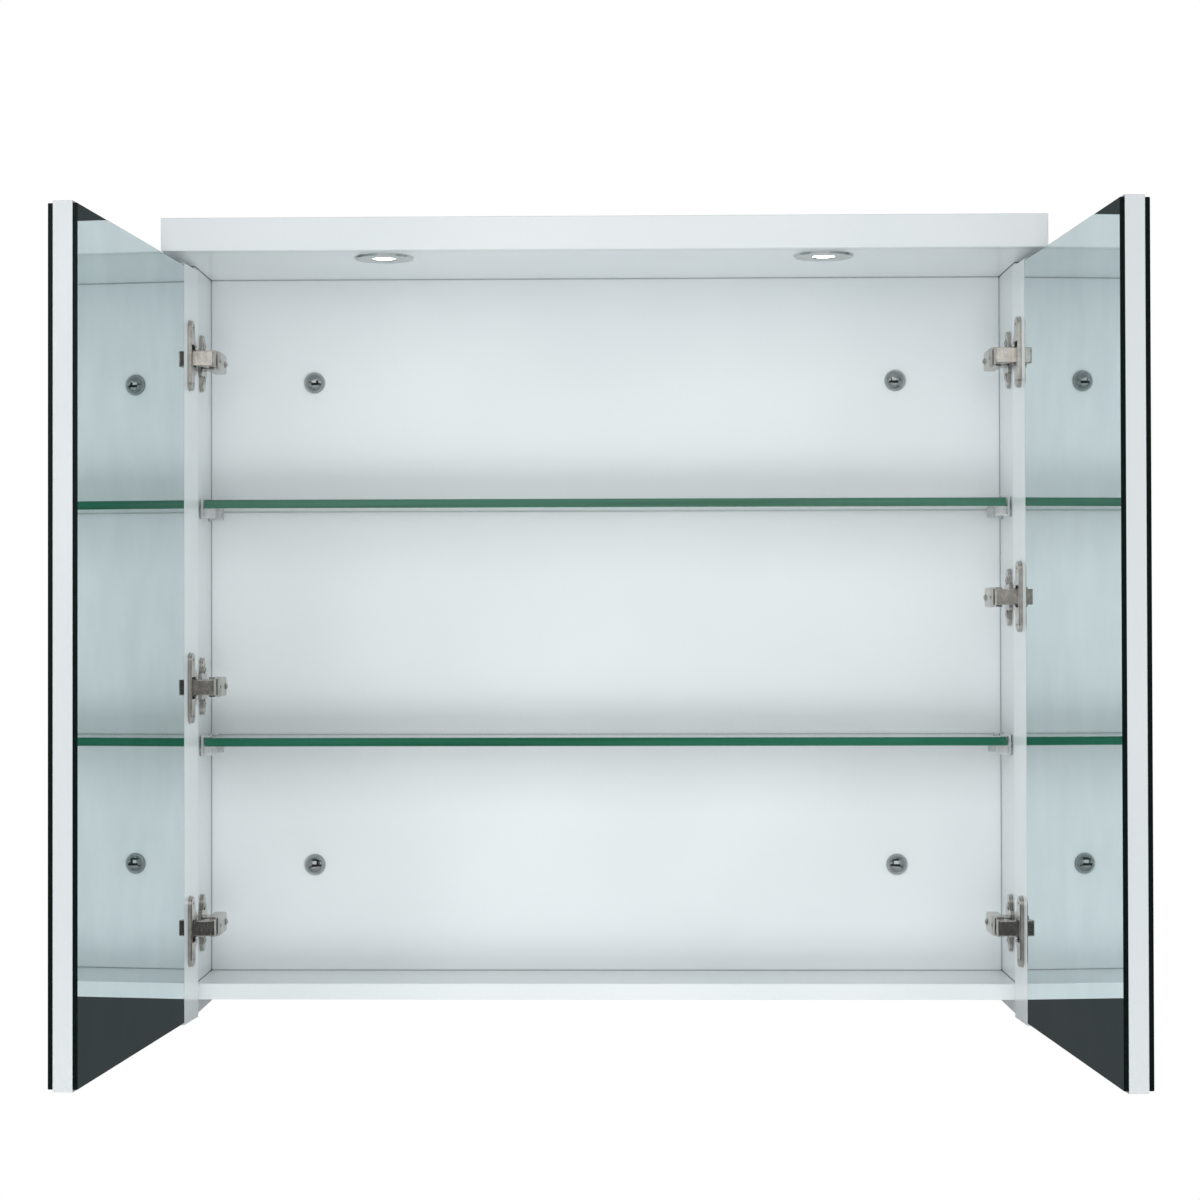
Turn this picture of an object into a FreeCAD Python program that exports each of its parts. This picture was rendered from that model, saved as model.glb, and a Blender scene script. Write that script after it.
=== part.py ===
import FreeCAD, Part
import math
import os

# Wall-hung mirror cabinet: a white lacquered carcass under a lit canopy, two glass shelves and
# two doors with a mirror on both faces, each on three concealed hinges.
# Millimetres. X runs to the viewer's right, Y runs into the wall and Z is up.
# The origin is the centre of the four wall-fixing holes, on the plane where the cabinet meets the wall.
# The doors are drawn standing open, which is their rest position.

Vec = FreeCAD.Vector

# ---- carcass ----
CABINET_WIDTH = 800.0
SIDE_HEIGHT = 705.0
SIDE_THICKNESS = 15.0
CARCASS_DEPTH = 112.0
BACK_THICKNESS = 15.0
BOTTOM_THICKNESS = 15.0
BOTTOM_RISE = 15.0            # underside of the bottom panel above the lower ends of the sides
BOTTOM_SETBACK = 2.0          # front edge of the bottom panel behind the front edges of the sides
PANEL_EDGE_RADIUS = 0.8

# ---- wall fixings in the back panel ----
FIXING_INSET_SIDE = 101.5
FIXING_INSET_TOP = 101.0
FIXING_INSET_BOTTOM = 103.0
FIXING_HOLE_RADIUS = 3.0
CAP_BASE_RADIUS = 9.0
CAP_BASE_THICKNESS = 1.6
CAP_RADIUS = 10.0
CAP_HEIGHT = 8.5
CAP_WALL = 0.8

# ---- canopy ----
CANOPY_DEPTH = 210.0
CANOPY_HEIGHT = 30.0
CANOPY_BASE_THICKNESS = 12.0
CANOPY_COVER_THICKNESS = 4.0
FASCIA_THICKNESS = 12.0
CANOPY_STRIP_THICKNESS = 8.0

# ---- spot lights ----
SPOT_OFFSET = 202.0           # centre of each spot from the middle of the cabinet
SPOT_FROM_FRONT = 47.0
BEZEL_RADIUS = 27.5
BEZEL_THICKNESS = 2.0
BEZEL_NECK_RADIUS = 24.5
BEZEL_NECK_WALL = 0.9
BEZEL_NECK_HEIGHT = 9.0
SPOT_HOLE_CLEARANCE = 0.5
LENS_RADIUS = 10.5
LENS_CLEARANCE = 0.2
LENS_FLANGE_RADIUS = 13.5
LENS_FLANGE_THICKNESS = 2.0
LENS_DOME_HEIGHT = 4.0
LED_BOARD_THICKNESS = 1.6
HEAT_SINK_HEIGHT = 20.0
HEAT_SINK_FIN_COUNT = 7
HEAT_SINK_FIN_GAP = 2.4
HEAT_SINK_FIN_DEPTH = 8.0
BEZEL_SCREW_OFFSET = 17.0
DRIVER_SIZE = (70.0, 34.0, 12.0)
DRIVER_FROM_FRONT = 120.0
LEAD_RADIUS = 1.4
LEAD_RISE = 3.0               # axis of the leads above the top of the canopy base
LEAD_EXIT_PITCH = 6.0
LEAD_FIRST_RUN = 40.0
CABLE_HOLE_RADIUS = 6.0
GROMMET_BORE_RADIUS = 3.5
GROMMET_LIP_RADIUS = 6.9
GROMMET_LIP_THICKNESS = 1.5
GROMMET_OFFSET = 60.0

# ---- glass shelves ----
SHELF_THICKNESS = 8.0
SHELF_SETBACK = 15.0          # front edge of a shelf behind the front edges of the sides
SHELF_BACK_GAP = 1.0
SHELF_END_GAP = 6.5
SHELF_SPACING = 225.5
SHELF_PAIR_DROP = 2.75        # middle of the two shelf undersides below the middle of the inside
SHELF_ARRIS = 0.6
SUPPORT_INSET = 14.0
SUPPORT_PIN_RADIUS = 2.5
SUPPORT_PIN_SUNK = 9.0
SUPPORT_PIN_OUT = 11.0
SUPPORT_PIN_DROP = 4.6
SUPPORT_COLLAR_RADIUS = 5.0
SUPPORT_COLLAR_THICKNESS = 1.6
SUPPORT_PAD_RADIUS = 6.2
SUPPORT_PAD_HEIGHT = 8.6
SUPPORT_PAD_OFFSET = 8.6      # centre of the round pad from the side panel
SUPPORT_TAB_THICKNESS = 2.2
SUPPORT_TAB_WIDTH = 9.0
SUPPORT_LIP_GAP = 0.4

# ---- doors ----
DOOR_TOP_GAP = 5.0
DOOR_CENTRE_GAP = 3.0
DOOR_SIDE_INSET = 0.5
DOOR_STANDOFF = 2.0           # shut door's inner face in front of the carcass
CORE_THICKNESS = 20.0
MIRROR_THICKNESS = 4.0
MIRROR_INSET_ENDS = 2.0
MIRROR_INSET_EDGE = 0.3
HINGE_STRIP_WIDTH = 54.0      # bare strip of the inner face that carries the hinges
MIRROR_ARRIS = 0.5
CORE_EDGE_RADIUS = 0.6
LEFT_REST_ANGLE = 94.4
RIGHT_REST_ANGLE = 93.2

# ---- concealed hinges ----
HINGE_END_INSET = 83.5        # outer hinges from the ends of the door
HINGE_MIDDLE_OFFSET = 41.5    # middle hinge from the middle of the door
LINK_SHARE = 0.285            # turn of the link for each degree that the door opens
ARM_PIVOT_OUT = 17.0          # arm pivot from the inner face of the side
ARM_PIVOT_BACK = 2.0          # arm pivot behind the front edge of the side
CUP_PIVOT_FROM_EDGE = 9.0
CUP_PIVOT_DEPTH = 3.0
CUP_RADIUS = 17.5
CUP_WALL = 0.7
CUP_DEPTH = 13.3
CUP_FROM_EDGE = 21.5
CUP_RIM_WIDTH = 1.0
CUP_RIM_THICKNESS = 1.0
CUP_BOSS_START = 7.9          # inner face of the bosses that hold the cup pin, from the hinge's middle
CUP_BOSS_DEPTH = 6.0
CUP_BOSS_WIDTH = 5.0
FLANGE_LENGTH = 65.0
FLANGE_THICKNESS = 3.7
FLANGE_FAR_EDGE = 40.5        # edge of the flange nearest the mirror, from the door's hinge edge
FLANGE_WING_WIDTH = 15.0
FLANGE_MIDDLE_WIDTH = 20.5
FLANGE_MIDDLE_HALF = 13.0
FLANGE_SHOULDER = 4.0
FLANGE_EDGE_RADIUS = 0.8
SLOT_HALF_WIDTH = 10.2
SLOT_FRONT_WALL = 1.4
CUP_SCREW_SPACING = 52.0
CUP_SCREW_FROM_EDGE = 33.0
CUP_SCREW_LENGTH = 15.0
CUP_SCREW_HEAD_RADIUS = 3.4
CUP_SCREW_HEAD_HEIGHT = 1.8
CUP_SCREW_RADIUS = 1.75
CUP_PIN_RADIUS = 1.2
CUP_PIN_LENGTH = 20.0
ARM_PIN_RADIUS = 1.5
PIN_CLEARANCE = 0.05
LINK_WIDTH = 14.8
LINK_WALL = 1.5
LINK_ARM_EYE_RADIUS = 2.8
LINK_CUP_EYE_RADIUS = 2.1
LINK_ELBOW = (8.6, 14.0)      # outer corner of the link, along and out from the line through its pivots
LINK_HEEL = (21.0, 4.4)       # outer corner of the link nearest the cup pin
LINK_BEND_RADIUS = 2.4
LINK_EDGE_RADIUS = 0.9
ARM_CLEARANCE = 0.3
ARM_WALL = 1.5
ARM_WEB = 1.8
ARM_LENGTH = 50.0
ARM_OUT = 22.3                # outer face of the arm from the side panel
ARM_INNER_OUT = 12.0          # open edge of the arm's channel from the side panel
ARM_NOSE_LEAD = 0.6           # tip of the arm in front of the side panel
ARM_NOSE_DROP = 3.8           # how far the arm's face slopes down to its nose
ARM_SLOPE_LENGTH = 13.0
ARM_FORK_DEPTH = 6.4          # slot in the nose that the link swings in
ARM_END_RADIUS = 5.0
PLATE_THICKNESS = 3.5
PLATE_WING_HEIGHT = 54.0
PLATE_WING_WIDTH = 16.0
PLATE_SCREW_SPACING = 32.0
PLATE_SCREW_BACK = 33.0
PLATE_RIB_WIDTH = 12.0
PLATE_BASE_HEIGHT = 26.0
ADJUSTER_BACK = 14.0
LOCK_SCREW_BACK = 43.0

# ---- carcass fasteners ----
DOWEL_RADIUS = 4.0
DOWEL_LENGTH = 28.0
DOWEL_IN_EDGE = 19.0          # length of a dowel in the panel whose edge it enters
CAM_RADIUS = 7.5
CAM_HEIGHT = 11.0
CAM_FROM_SIDE = 34.0
CAM_BOLT_RADIUS = 2.9
CAM_BOLT_SUNK = 10.0
CAM_GRIP = 4.0                # length of the bolt's end inside the cam
CAM_ROW = (22.0, 90.0)        # distances of the cam locks behind the carcass front
CANOPY_SCREW_RADIUS = 2.2
CANOPY_SCREW_LENGTH = 50.0
CANOPY_SCREW_HEAD_RADIUS = 4.2
CANOPY_SCREW_HEAD_HEIGHT = 3.0

# ---- derived planes ----
half_width = CABINET_WIDTH / 2
inner_half = half_width - SIDE_THICKNESS
inside_height = SIDE_HEIGHT - BOTTOM_RISE - BOTTOM_THICKNESS
fixing_spacing_x = 2 * (inner_half - FIXING_INSET_SIDE)
fixing_spacing_z = inside_height - FIXING_INSET_TOP - FIXING_INSET_BOTTOM
ceiling_z = fixing_spacing_z / 2 + FIXING_INSET_TOP
floor_z = ceiling_z - inside_height
side_bottom_z = ceiling_z - SIDE_HEIGHT
carcass_front = -CARCASS_DEPTH
back_front = -BACK_THICKNESS
canopy_front = -CANOPY_DEPTH
canopy_top_z = ceiling_z + CANOPY_HEIGHT
base_top_z = ceiling_z + CANOPY_BASE_THICKNESS
cover_bottom_z = canopy_top_z - CANOPY_COVER_THICKNESS
spot_y = canopy_front + SPOT_FROM_FRONT
shelf_front = carcass_front + SHELF_SETBACK
shelf_back = back_front - SHELF_BACK_GAP
shelf_middle_z = floor_z + inside_height / 2 - SHELF_PAIR_DROP
shelf_heights = {"lower": shelf_middle_z - SHELF_SPACING / 2, "upper": shelf_middle_z + SHELF_SPACING / 2}
support_rows = (shelf_front + SUPPORT_INSET, shelf_back - SUPPORT_INSET)
door_width = half_width - DOOR_SIDE_INSET - DOOR_CENTRE_GAP / 2
door_bottom_z = side_bottom_z
door_top_z = ceiling_z - DOOR_TOP_GAP
door_middle_z = (door_bottom_z + door_top_z) / 2
door_edge_x = -half_width + DOOR_SIDE_INSET
door_face_y = carcass_front - DOOR_STANDOFF
arm_pivot = (-inner_half + ARM_PIVOT_OUT, carcass_front + ARM_PIVOT_BACK)
cup_pivot = (door_edge_x + CUP_PIVOT_FROM_EDGE, door_face_y - CUP_PIVOT_DEPTH)
hinge_names = ("lower", "middle", "upper")
hinge_heights = {
    side: (door_bottom_z + HINGE_END_INSET, door_middle_z + offset, door_top_z - HINGE_END_INSET)
    for side, offset in (("left", -HINGE_MIDDLE_OFFSET), ("right", HINGE_MIDDLE_OFFSET))
}
rest_angles = {"left": LEFT_REST_ANGLE, "right": RIGHT_REST_ANGLE}


# ---- small helpers ----
def block(x, y, z):
    """Box between two values on each axis."""
    return Part.makeBox(x[1] - x[0], y[1] - y[0], z[1] - z[0], Vec(x[0], y[0], z[0]))


def rounded_block(x, y, z, radius):
    """Box with every edge rounded."""
    shape = block(x, y, z)
    return shape.makeFillet(radius, shape.Edges)


def chamfered_block(x, y, z, size):
    """Box with every edge bevelled, as on ground glass."""
    shape = block(x, y, z)
    return shape.makeChamfer(size, shape.Edges)


def rod(start, direction, length, radius):
    """Cylinder from a start point along a direction."""
    return Part.makeCylinder(radius, length, Vec(*start), Vec(*direction))


def prism(points, bottom, top):
    """Closed outline in the XY plane, drawn up from bottom to top."""
    corners = [Vec(x, y, bottom) for x, y in points]
    face = Part.Face(Part.makePolygon(corners + [corners[0]]))
    return face.extrude(Vec(0, 0, top - bottom))


def screw(start, direction, head_radius, head_height, shank_radius, shank_length):
    """Cheese-head screw whose head sits on start and whose shank runs along direction."""
    step = Vec(*direction)
    head_start = Vec(*start) - step * head_height
    head = Part.makeCylinder(head_radius, head_height, head_start, step)
    shank = Part.makeCylinder(shank_radius, shank_length, Vec(*start), step)
    slot = Part.makeCylinder(head_radius * 0.42, head_height * 0.5, head_start, step)
    return head.fuse(shank).cut(slot).removeSplitter()


def countersunk_screw(start, direction, head_radius, head_height, shank_radius, length):
    """Screw whose head is flush with start."""
    step = Vec(*direction)
    head = Part.makeCone(head_radius, shank_radius, head_height, Vec(*start), step)
    shank = Part.makeCylinder(shank_radius, length, Vec(*start), step)
    return head.fuse(shank).removeSplitter()


def union(shapes):
    """One solid from several that meet."""
    result = shapes[0]
    for shape in shapes[1:]:
        result = result.fuse(shape)
    return result.removeSplitter()


def cut_all(shape, tools):
    """Shape with several tools taken out of it."""
    for tool in tools:
        shape = shape.cut(tool)
    return shape


def mirrored(shape):
    """The same piece on the other side of the cabinet."""
    return shape.mirror(Vec(0, 0, 0), Vec(1, 0, 0))


def both_sides(shapes):
    """Left-hand pieces and their right-hand twins."""
    return list(shapes) + [mirrored(shape) for shape in shapes]


def placed(side, shape):
    """Left-hand shape put on its own side."""
    if side == "left":
        return shape
    return mirrored(shape)


# ---- carcass fasteners, each list for both sides ----
def side_dowels():
    """Dowels from the left side panel into the bottom panel and into the back panel."""
    sunk = DOWEL_LENGTH - DOWEL_IN_EDGE
    start_x = -inner_half - sunk
    middle_y = (carcass_front + back_front) / 2
    places = [(middle_y, floor_z - BOTTOM_THICKNESS / 2)]
    for share in (0.15, 0.5, 0.85):
        places.append((-BACK_THICKNESS / 2, floor_z + share * inside_height))
    return [rod((start_x, y, z), (1, 0, 0), DOWEL_LENGTH, DOWEL_RADIUS) for y, z in places]


def canopy_dowels():
    """Dowel standing in the top end of the left side panel and in the canopy base."""
    sunk = DOWEL_LENGTH - DOWEL_IN_EDGE
    middle_y = carcass_front / 2
    start = (-half_width + SIDE_THICKNESS / 2, middle_y, ceiling_z - DOWEL_IN_EDGE)
    return [rod(start, (0, 0, 1), DOWEL_IN_EDGE + sunk, DOWEL_RADIUS)]


def all_dowels():
    return both_sides(side_dowels() + canopy_dowels())


def cam_locks():
    """Eccentric cams let into the underside of the bottom panel."""
    under_z = floor_z - BOTTOM_THICKNESS
    cams = []
    for back in CAM_ROW:
        centre = (-inner_half + CAM_FROM_SIDE, carcass_front + back, under_z)
        cam = rod(centre, (0, 0, 1), CAM_HEIGHT, CAM_RADIUS)
        slot = block((centre[0] - 5, centre[0] + 5), (centre[1] - 0.7, centre[1] + 0.7), (under_z, under_z + 1.5))
        cams.append(cut_all(cam, [slot] + left_cam_bolts()))
    return both_sides(cams)


def left_cam_bolts():
    """Bolts screwed into the left side panel that the cams pull on."""
    bolts = []
    for back in CAM_ROW:
        start = (-inner_half - CAM_BOLT_SUNK, carcass_front + back, floor_z - BOTTOM_THICKNESS / 2)
        length = CAM_BOLT_SUNK + CAM_FROM_SIDE - CAM_RADIUS + CAM_GRIP
        bolts.append(rod(start, (1, 0, 0), length, CAM_BOLT_RADIUS))
    return bolts


def canopy_screws():
    """Long screws down through the canopy base into the top ends of the sides."""
    x = -half_width + SIDE_THICKNESS / 2
    screws = []
    for back in CAM_ROW:
        start = (x, carcass_front + back, base_top_z)
        screws.append(countersunk_screw(start, (0, 0, -1), CANOPY_SCREW_HEAD_RADIUS,
                                        CANOPY_SCREW_HEAD_HEIGHT, CANOPY_SCREW_RADIUS, CANOPY_SCREW_LENGTH))
    return both_sides(screws)


# ---- wall fixings ----
def fixing_places():
    x = fixing_spacing_x / 2
    z = fixing_spacing_z / 2
    return [(-x, z), (x, z), (-x, -z), (x, -z)]


def cap_bases():
    """Round seats that the wall screws clamp and the caps snap over."""
    bases = []
    for x, z in fixing_places():
        start = (x, back_front, z)
        base = rod(start, (0, -1, 0), CAP_BASE_THICKNESS, CAP_BASE_RADIUS)
        bases.append(base.cut(rod(start, (0, -1, 0), CAP_BASE_THICKNESS, FIXING_HOLE_RADIUS)))
    return bases


def dome(radius, height):
    """Solid spherical cap standing on the XZ plane and rising towards -Y."""
    sphere_radius = (radius ** 2 + height ** 2) / (2 * height)
    ball = Part.makeSphere(sphere_radius, Vec(0, sphere_radius - height, 0))
    reach = 2 * sphere_radius
    return ball.common(block((-reach, reach), (-reach, 0), (-reach, reach)))


def dome_caps():
    """Hollow domed caps over the wall screws."""
    shell = dome(CAP_RADIUS, CAP_HEIGHT).cut(dome(CAP_RADIUS - CAP_WALL, CAP_HEIGHT - CAP_WALL))
    shell = shell.cut(rod((0, 0, 0), (0, -1, 0), CAP_BASE_THICKNESS, CAP_BASE_RADIUS))
    caps = []
    for x, z in fixing_places():
        cap = shell.copy()
        cap.translate(Vec(x, back_front, z))
        caps.append(cap)
    return caps


# ---- panels ----
def bottom_panel():
    panel = rounded_block((-inner_half, inner_half), (carcass_front + BOTTOM_SETBACK, 0),
                          (floor_z - BOTTOM_THICKNESS, floor_z), PANEL_EDGE_RADIUS)
    under_z = floor_z - BOTTOM_THICKNESS
    cam_x = inner_half - CAM_FROM_SIDE
    bores = [rod((x, carcass_front + back, under_z), (0, 0, 1), CAM_HEIGHT, CAM_RADIUS)
             for x in (-cam_x, cam_x) for back in CAM_ROW]
    return cut_all(panel, all_dowels() + both_sides(left_cam_bolts()) + bores)


def back_panel():
    panel = block((-inner_half, inner_half), (back_front, 0), (floor_z, ceiling_z))
    holes = [rod((x, 0, z), (0, -1, 0), BACK_THICKNESS, FIXING_HOLE_RADIUS) for x, z in fixing_places()]
    return cut_all(panel, holes + all_dowels())


def spot_places():
    return [(-SPOT_OFFSET, spot_y), (SPOT_OFFSET, spot_y)]


def canopy_base_board():
    fascia_back = canopy_front + FASCIA_THICKNESS
    board = block((-half_width, half_width), (fascia_back, 0), (ceiling_z, base_top_z))
    holes = [rod((x, y, ceiling_z), (0, 0, 1), CANOPY_BASE_THICKNESS, BEZEL_NECK_RADIUS + SPOT_HOLE_CLEARANCE)
             for x, y in spot_places()]
    return cut_all(board, holes + canopy_screws() + all_dowels())


def canopy_fascia():
    return rounded_block((-half_width, half_width), (canopy_front, canopy_front + FASCIA_THICKNESS),
                         (ceiling_z, canopy_top_z), PANEL_EDGE_RADIUS)


def canopy_end_strips():
    fascia_back = canopy_front + FASCIA_THICKNESS
    strip = block((-half_width, -half_width + CANOPY_STRIP_THICKNESS), (fascia_back, 0), (base_top_z, cover_bottom_z))
    return both_sides([strip])


def canopy_rear_strip():
    end = half_width - CANOPY_STRIP_THICKNESS
    strip = block((-end, end), (-CANOPY_STRIP_THICKNESS, 0), (base_top_z, cover_bottom_z))
    middle_z = (base_top_z + cover_bottom_z) / 2
    return strip.cut(rod((GROMMET_OFFSET, 0, middle_z), (0, -1, 0), CANOPY_STRIP_THICKNESS, CABLE_HOLE_RADIUS))


def canopy_top_cover():
    fascia_back = canopy_front + FASCIA_THICKNESS
    return block((-half_width, half_width), (fascia_back, 0), (cover_bottom_z, canopy_top_z))


def cable_grommet():
    """Rubber ring in the rear strip, where the supply cable comes in."""
    middle_z = (base_top_z + cover_bottom_z) / 2
    start_y = -CANOPY_STRIP_THICKNESS
    sleeve = rod((GROMMET_OFFSET, 0, middle_z), (0, -1, 0), CANOPY_STRIP_THICKNESS, CABLE_HOLE_RADIUS)
    lip = rod((GROMMET_OFFSET, start_y, middle_z), (0, -1, 0), GROMMET_LIP_THICKNESS, GROMMET_LIP_RADIUS)
    bore = rod((GROMMET_OFFSET, 0, middle_z), (0, -1, 0), CANOPY_STRIP_THICKNESS + GROMMET_LIP_THICKNESS,
               GROMMET_BORE_RADIUS)
    return sleeve.fuse(lip).cut(bore).removeSplitter()


# ---- spot lights, drawn at the left-hand place and mirrored ----
def spot_bezel():
    x, y = spot_places()[0]
    plate = Part.makeCone(BEZEL_RADIUS - BEZEL_THICKNESS * 0.6, BEZEL_RADIUS, BEZEL_THICKNESS,
                          Vec(x, y, ceiling_z - BEZEL_THICKNESS))
    neck = rod((x, y, ceiling_z), (0, 0, 1), BEZEL_NECK_HEIGHT, BEZEL_NECK_RADIUS)
    bore = rod((x, y, ceiling_z), (0, 0, 1), BEZEL_NECK_HEIGHT, BEZEL_NECK_RADIUS - BEZEL_NECK_WALL)
    mouth = Part.makeCone(LENS_RADIUS + LENS_CLEARANCE + 0.8, LENS_RADIUS + LENS_CLEARANCE, BEZEL_THICKNESS,
                          Vec(x, y, ceiling_z - BEZEL_THICKNESS))
    bezel = plate.fuse(neck).cut(bore).cut(mouth).removeSplitter()
    return cut_all(bezel, bezel_screws(x, y))


def bezel_screws(x, y):
    start_z = ceiling_z - BEZEL_THICKNESS
    return [countersunk_screw((x + side * BEZEL_SCREW_OFFSET, y, start_z), (0, 0, 1), 2.0, 1.0, 1.1, 8.0)
            for side in (-1, 1)]


def spot_lens():
    x, y = spot_places()[0]
    window = rod((x, y, ceiling_z - BEZEL_THICKNESS * 0.5), (0, 0, 1), BEZEL_THICKNESS * 0.5, LENS_RADIUS)
    flange = rod((x, y, ceiling_z), (0, 0, 1), LENS_FLANGE_THICKNESS, LENS_FLANGE_RADIUS)
    cone_base = Vec(x, y, ceiling_z + LENS_FLANGE_THICKNESS)
    cone = Part.makeCone(LENS_RADIUS, LENS_RADIUS * 0.6, LENS_DOME_HEIGHT, cone_base)
    return union([window, flange, cone])


def led_board():
    x, y = spot_places()[0]
    z = ceiling_z + LENS_FLANGE_THICKNESS + LENS_DOME_HEIGHT
    return rod((x, y, z), (0, 0, 1), LED_BOARD_THICKNESS, LENS_FLANGE_RADIUS)


def spot_heat_sink():
    """Finned aluminium body that holds the lens and the lamp board."""
    x, y = spot_places()[0]
    radius = BEZEL_NECK_RADIUS - BEZEL_NECK_WALL
    body = rod((x, y, ceiling_z), (0, 0, 1), HEAT_SINK_HEIGHT, radius)
    pocket = rod((x, y, ceiling_z), (0, 0, 1), LENS_FLANGE_THICKNESS + LENS_DOME_HEIGHT + LED_BOARD_THICKNESS,
                 LENS_FLANGE_RADIUS)
    pitch = 2 * radius / HEAT_SINK_FIN_COUNT
    slots = []
    for index in range(1, HEAT_SINK_FIN_COUNT):
        slot_x = x - radius + index * pitch
        slots.append(block((slot_x - HEAT_SINK_FIN_GAP / 2, slot_x + HEAT_SINK_FIN_GAP / 2),
                           (y - radius, y + radius),
                           (ceiling_z + HEAT_SINK_HEIGHT - HEAT_SINK_FIN_DEPTH, ceiling_z + HEAT_SINK_HEIGHT)))
    return cut_all(body.cut(pocket), slots + bezel_screws(x, y))


def driver_y():
    return canopy_front + DRIVER_FROM_FRONT


def led_driver():
    length, width, height = DRIVER_SIZE
    shape = block((-length / 2, length / 2), (driver_y() - width / 2, driver_y() + width / 2),
                  (base_top_z, base_top_z + height))
    upright = [edge for edge in shape.Edges if abs(edge.Vertexes[0].X - edge.Vertexes[1].X) < 0.001
               and abs(edge.Vertexes[0].Y - edge.Vertexes[1].Y) < 0.001]
    return shape.makeFillet(3.0, upright)


def tangent_route(points):
    """Straight runs between the points, joined by arcs as large as the runs allow."""
    edges = []
    here = points[0]
    for index in range(1, len(points) - 1):
        corner = points[index]
        before = points[index - 1] - corner
        after = points[index + 1] - corner
        turn = math.pi - before.getAngle(after)
        trim = 0.45 * min(before.Length, after.Length)
        radius = trim / math.tan(turn / 2)
        before.normalize()
        after.normalize()
        start = corner + before * trim
        finish = corner + after * trim
        inward = before + after
        inward.normalize()
        reach = math.hypot(trim, radius) - radius
        edges.append(Part.LineSegment(here, start).toShape())
        edges.append(Part.Arc(start, corner + inward * reach, finish).toShape())
        here = finish
    edges.append(Part.LineSegment(here, points[-1]).toShape())
    return Part.Wire(edges)


def spot_lead():
    """Twin lead from the end of the driver to the back of the left spot, clipped on the canopy base."""
    x, y = spot_places()[0]
    z = base_top_z + LEAD_RISE
    start_x = -DRIVER_SIZE[0] / 2
    finish_x = x + BEZEL_NECK_RADIUS - BEZEL_NECK_WALL
    start_y = driver_y() - LEAD_EXIT_PITCH
    points = [Vec(start_x, start_y, z), Vec(start_x - LEAD_FIRST_RUN, start_y, z),
              Vec(finish_x + LEAD_FIRST_RUN, y, z), Vec(finish_x, y, z)]
    route = tangent_route(points)
    section = Part.Wire(Part.makeCircle(LEAD_RADIUS, points[0], Vec(-1, 0, 0)))
    return route.makePipeShell([section], True, False)


# ---- shelves ----
def glass_shelf(height):
    end = inner_half - SHELF_END_GAP
    return chamfered_block((-end, end), (shelf_front, shelf_back), (height, height + SHELF_THICKNESS), SHELF_ARRIS)


def support_pins():
    """Metal pins in the left side panel under both shelves."""
    pins = []
    for height in shelf_heights.values():
        for y in support_rows:
            z = height - SUPPORT_PIN_DROP
            pin = rod((-inner_half - SUPPORT_PIN_SUNK, y, z), (1, 0, 0), SUPPORT_PIN_SUNK + SUPPORT_PIN_OUT,
                      SUPPORT_PIN_RADIUS)
            collar = rod((-inner_half, y, z), (1, 0, 0), SUPPORT_COLLAR_THICKNESS, SUPPORT_COLLAR_RADIUS)
            pins.append(union([pin, collar]))
    return pins


def support_pads():
    """Clear pads on the pins: a round seat under the glass and a tab behind its end with a lip above it."""
    pads = []
    for height in shelf_heights.values():
        for y in support_rows:
            centre_x = -inner_half + SUPPORT_PAD_OFFSET
            seat = rod((centre_x, y, height - SUPPORT_PAD_HEIGHT), (0, 0, 1), SUPPORT_PAD_HEIGHT, SUPPORT_PAD_RADIUS)
            tab_back = -inner_half + SUPPORT_COLLAR_THICKNESS
            seat = seat.cut(block((-inner_half - 10, tab_back), (y - 20, y + 20), (height - 20, height + 20)))
            tab = block((tab_back, tab_back + SUPPORT_TAB_THICKNESS),
                        (y - SUPPORT_TAB_WIDTH / 2, y + SUPPORT_TAB_WIDTH / 2),
                        (height - SUPPORT_PAD_HEIGHT, height + SHELF_THICKNESS + SUPPORT_LIP_GAP + 1.4))
            lip = block((tab_back, -inner_half + SHELF_END_GAP + 3.0),
                        (y - SUPPORT_TAB_WIDTH / 2, y + SUPPORT_TAB_WIDTH / 2),
                        (height + SHELF_THICKNESS + SUPPORT_LIP_GAP, height + SHELF_THICKNESS + SUPPORT_LIP_GAP + 1.4))
            pads.append(cut_all(union([seat, tab, lip]), support_pins()))
    return pads


# ---- doors, drawn shut on the left and then swung open ----
def swung(shape, angle):
    """Door piece moved from shut to the given opening angle."""
    link_turn = math.radians(LINK_SHARE * angle)
    reach_x = cup_pivot[0] - arm_pivot[0]
    reach_y = cup_pivot[1] - arm_pivot[1]
    moved_x = arm_pivot[0] + reach_x * math.cos(link_turn) - reach_y * math.sin(link_turn)
    moved_y = arm_pivot[1] + reach_x * math.sin(link_turn) + reach_y * math.cos(link_turn)
    result = shape.copy()
    result.rotate(Vec(cup_pivot[0], cup_pivot[1], 0), Vec(0, 0, 1), -angle)
    result.translate(Vec(moved_x - cup_pivot[0], moved_y - cup_pivot[1], 0))
    return result


def link_swung(shape, angle):
    """Link moved from its shut place to where it stands at the given opening angle."""
    result = shape.copy()
    result.rotate(Vec(arm_pivot[0], arm_pivot[1], 0), Vec(0, 0, 1), LINK_SHARE * angle)
    return result


def door_span(start, end):
    """X range of a piece that runs between two distances from the hinge edge."""
    return (door_edge_x + start, door_edge_x + end)


def door_depth(start, end):
    """Y range of a piece that lies between two depths from the door's inner face."""
    return (door_face_y - end, door_face_y - start)


def cup_centre(height):
    return (door_edge_x + CUP_FROM_EDGE, door_face_y, height)


def cup_screw_places(height):
    x = door_edge_x + CUP_SCREW_FROM_EDGE
    return [(x, door_face_y, height + side * CUP_SCREW_SPACING / 2) for side in (-1, 1)]


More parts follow.
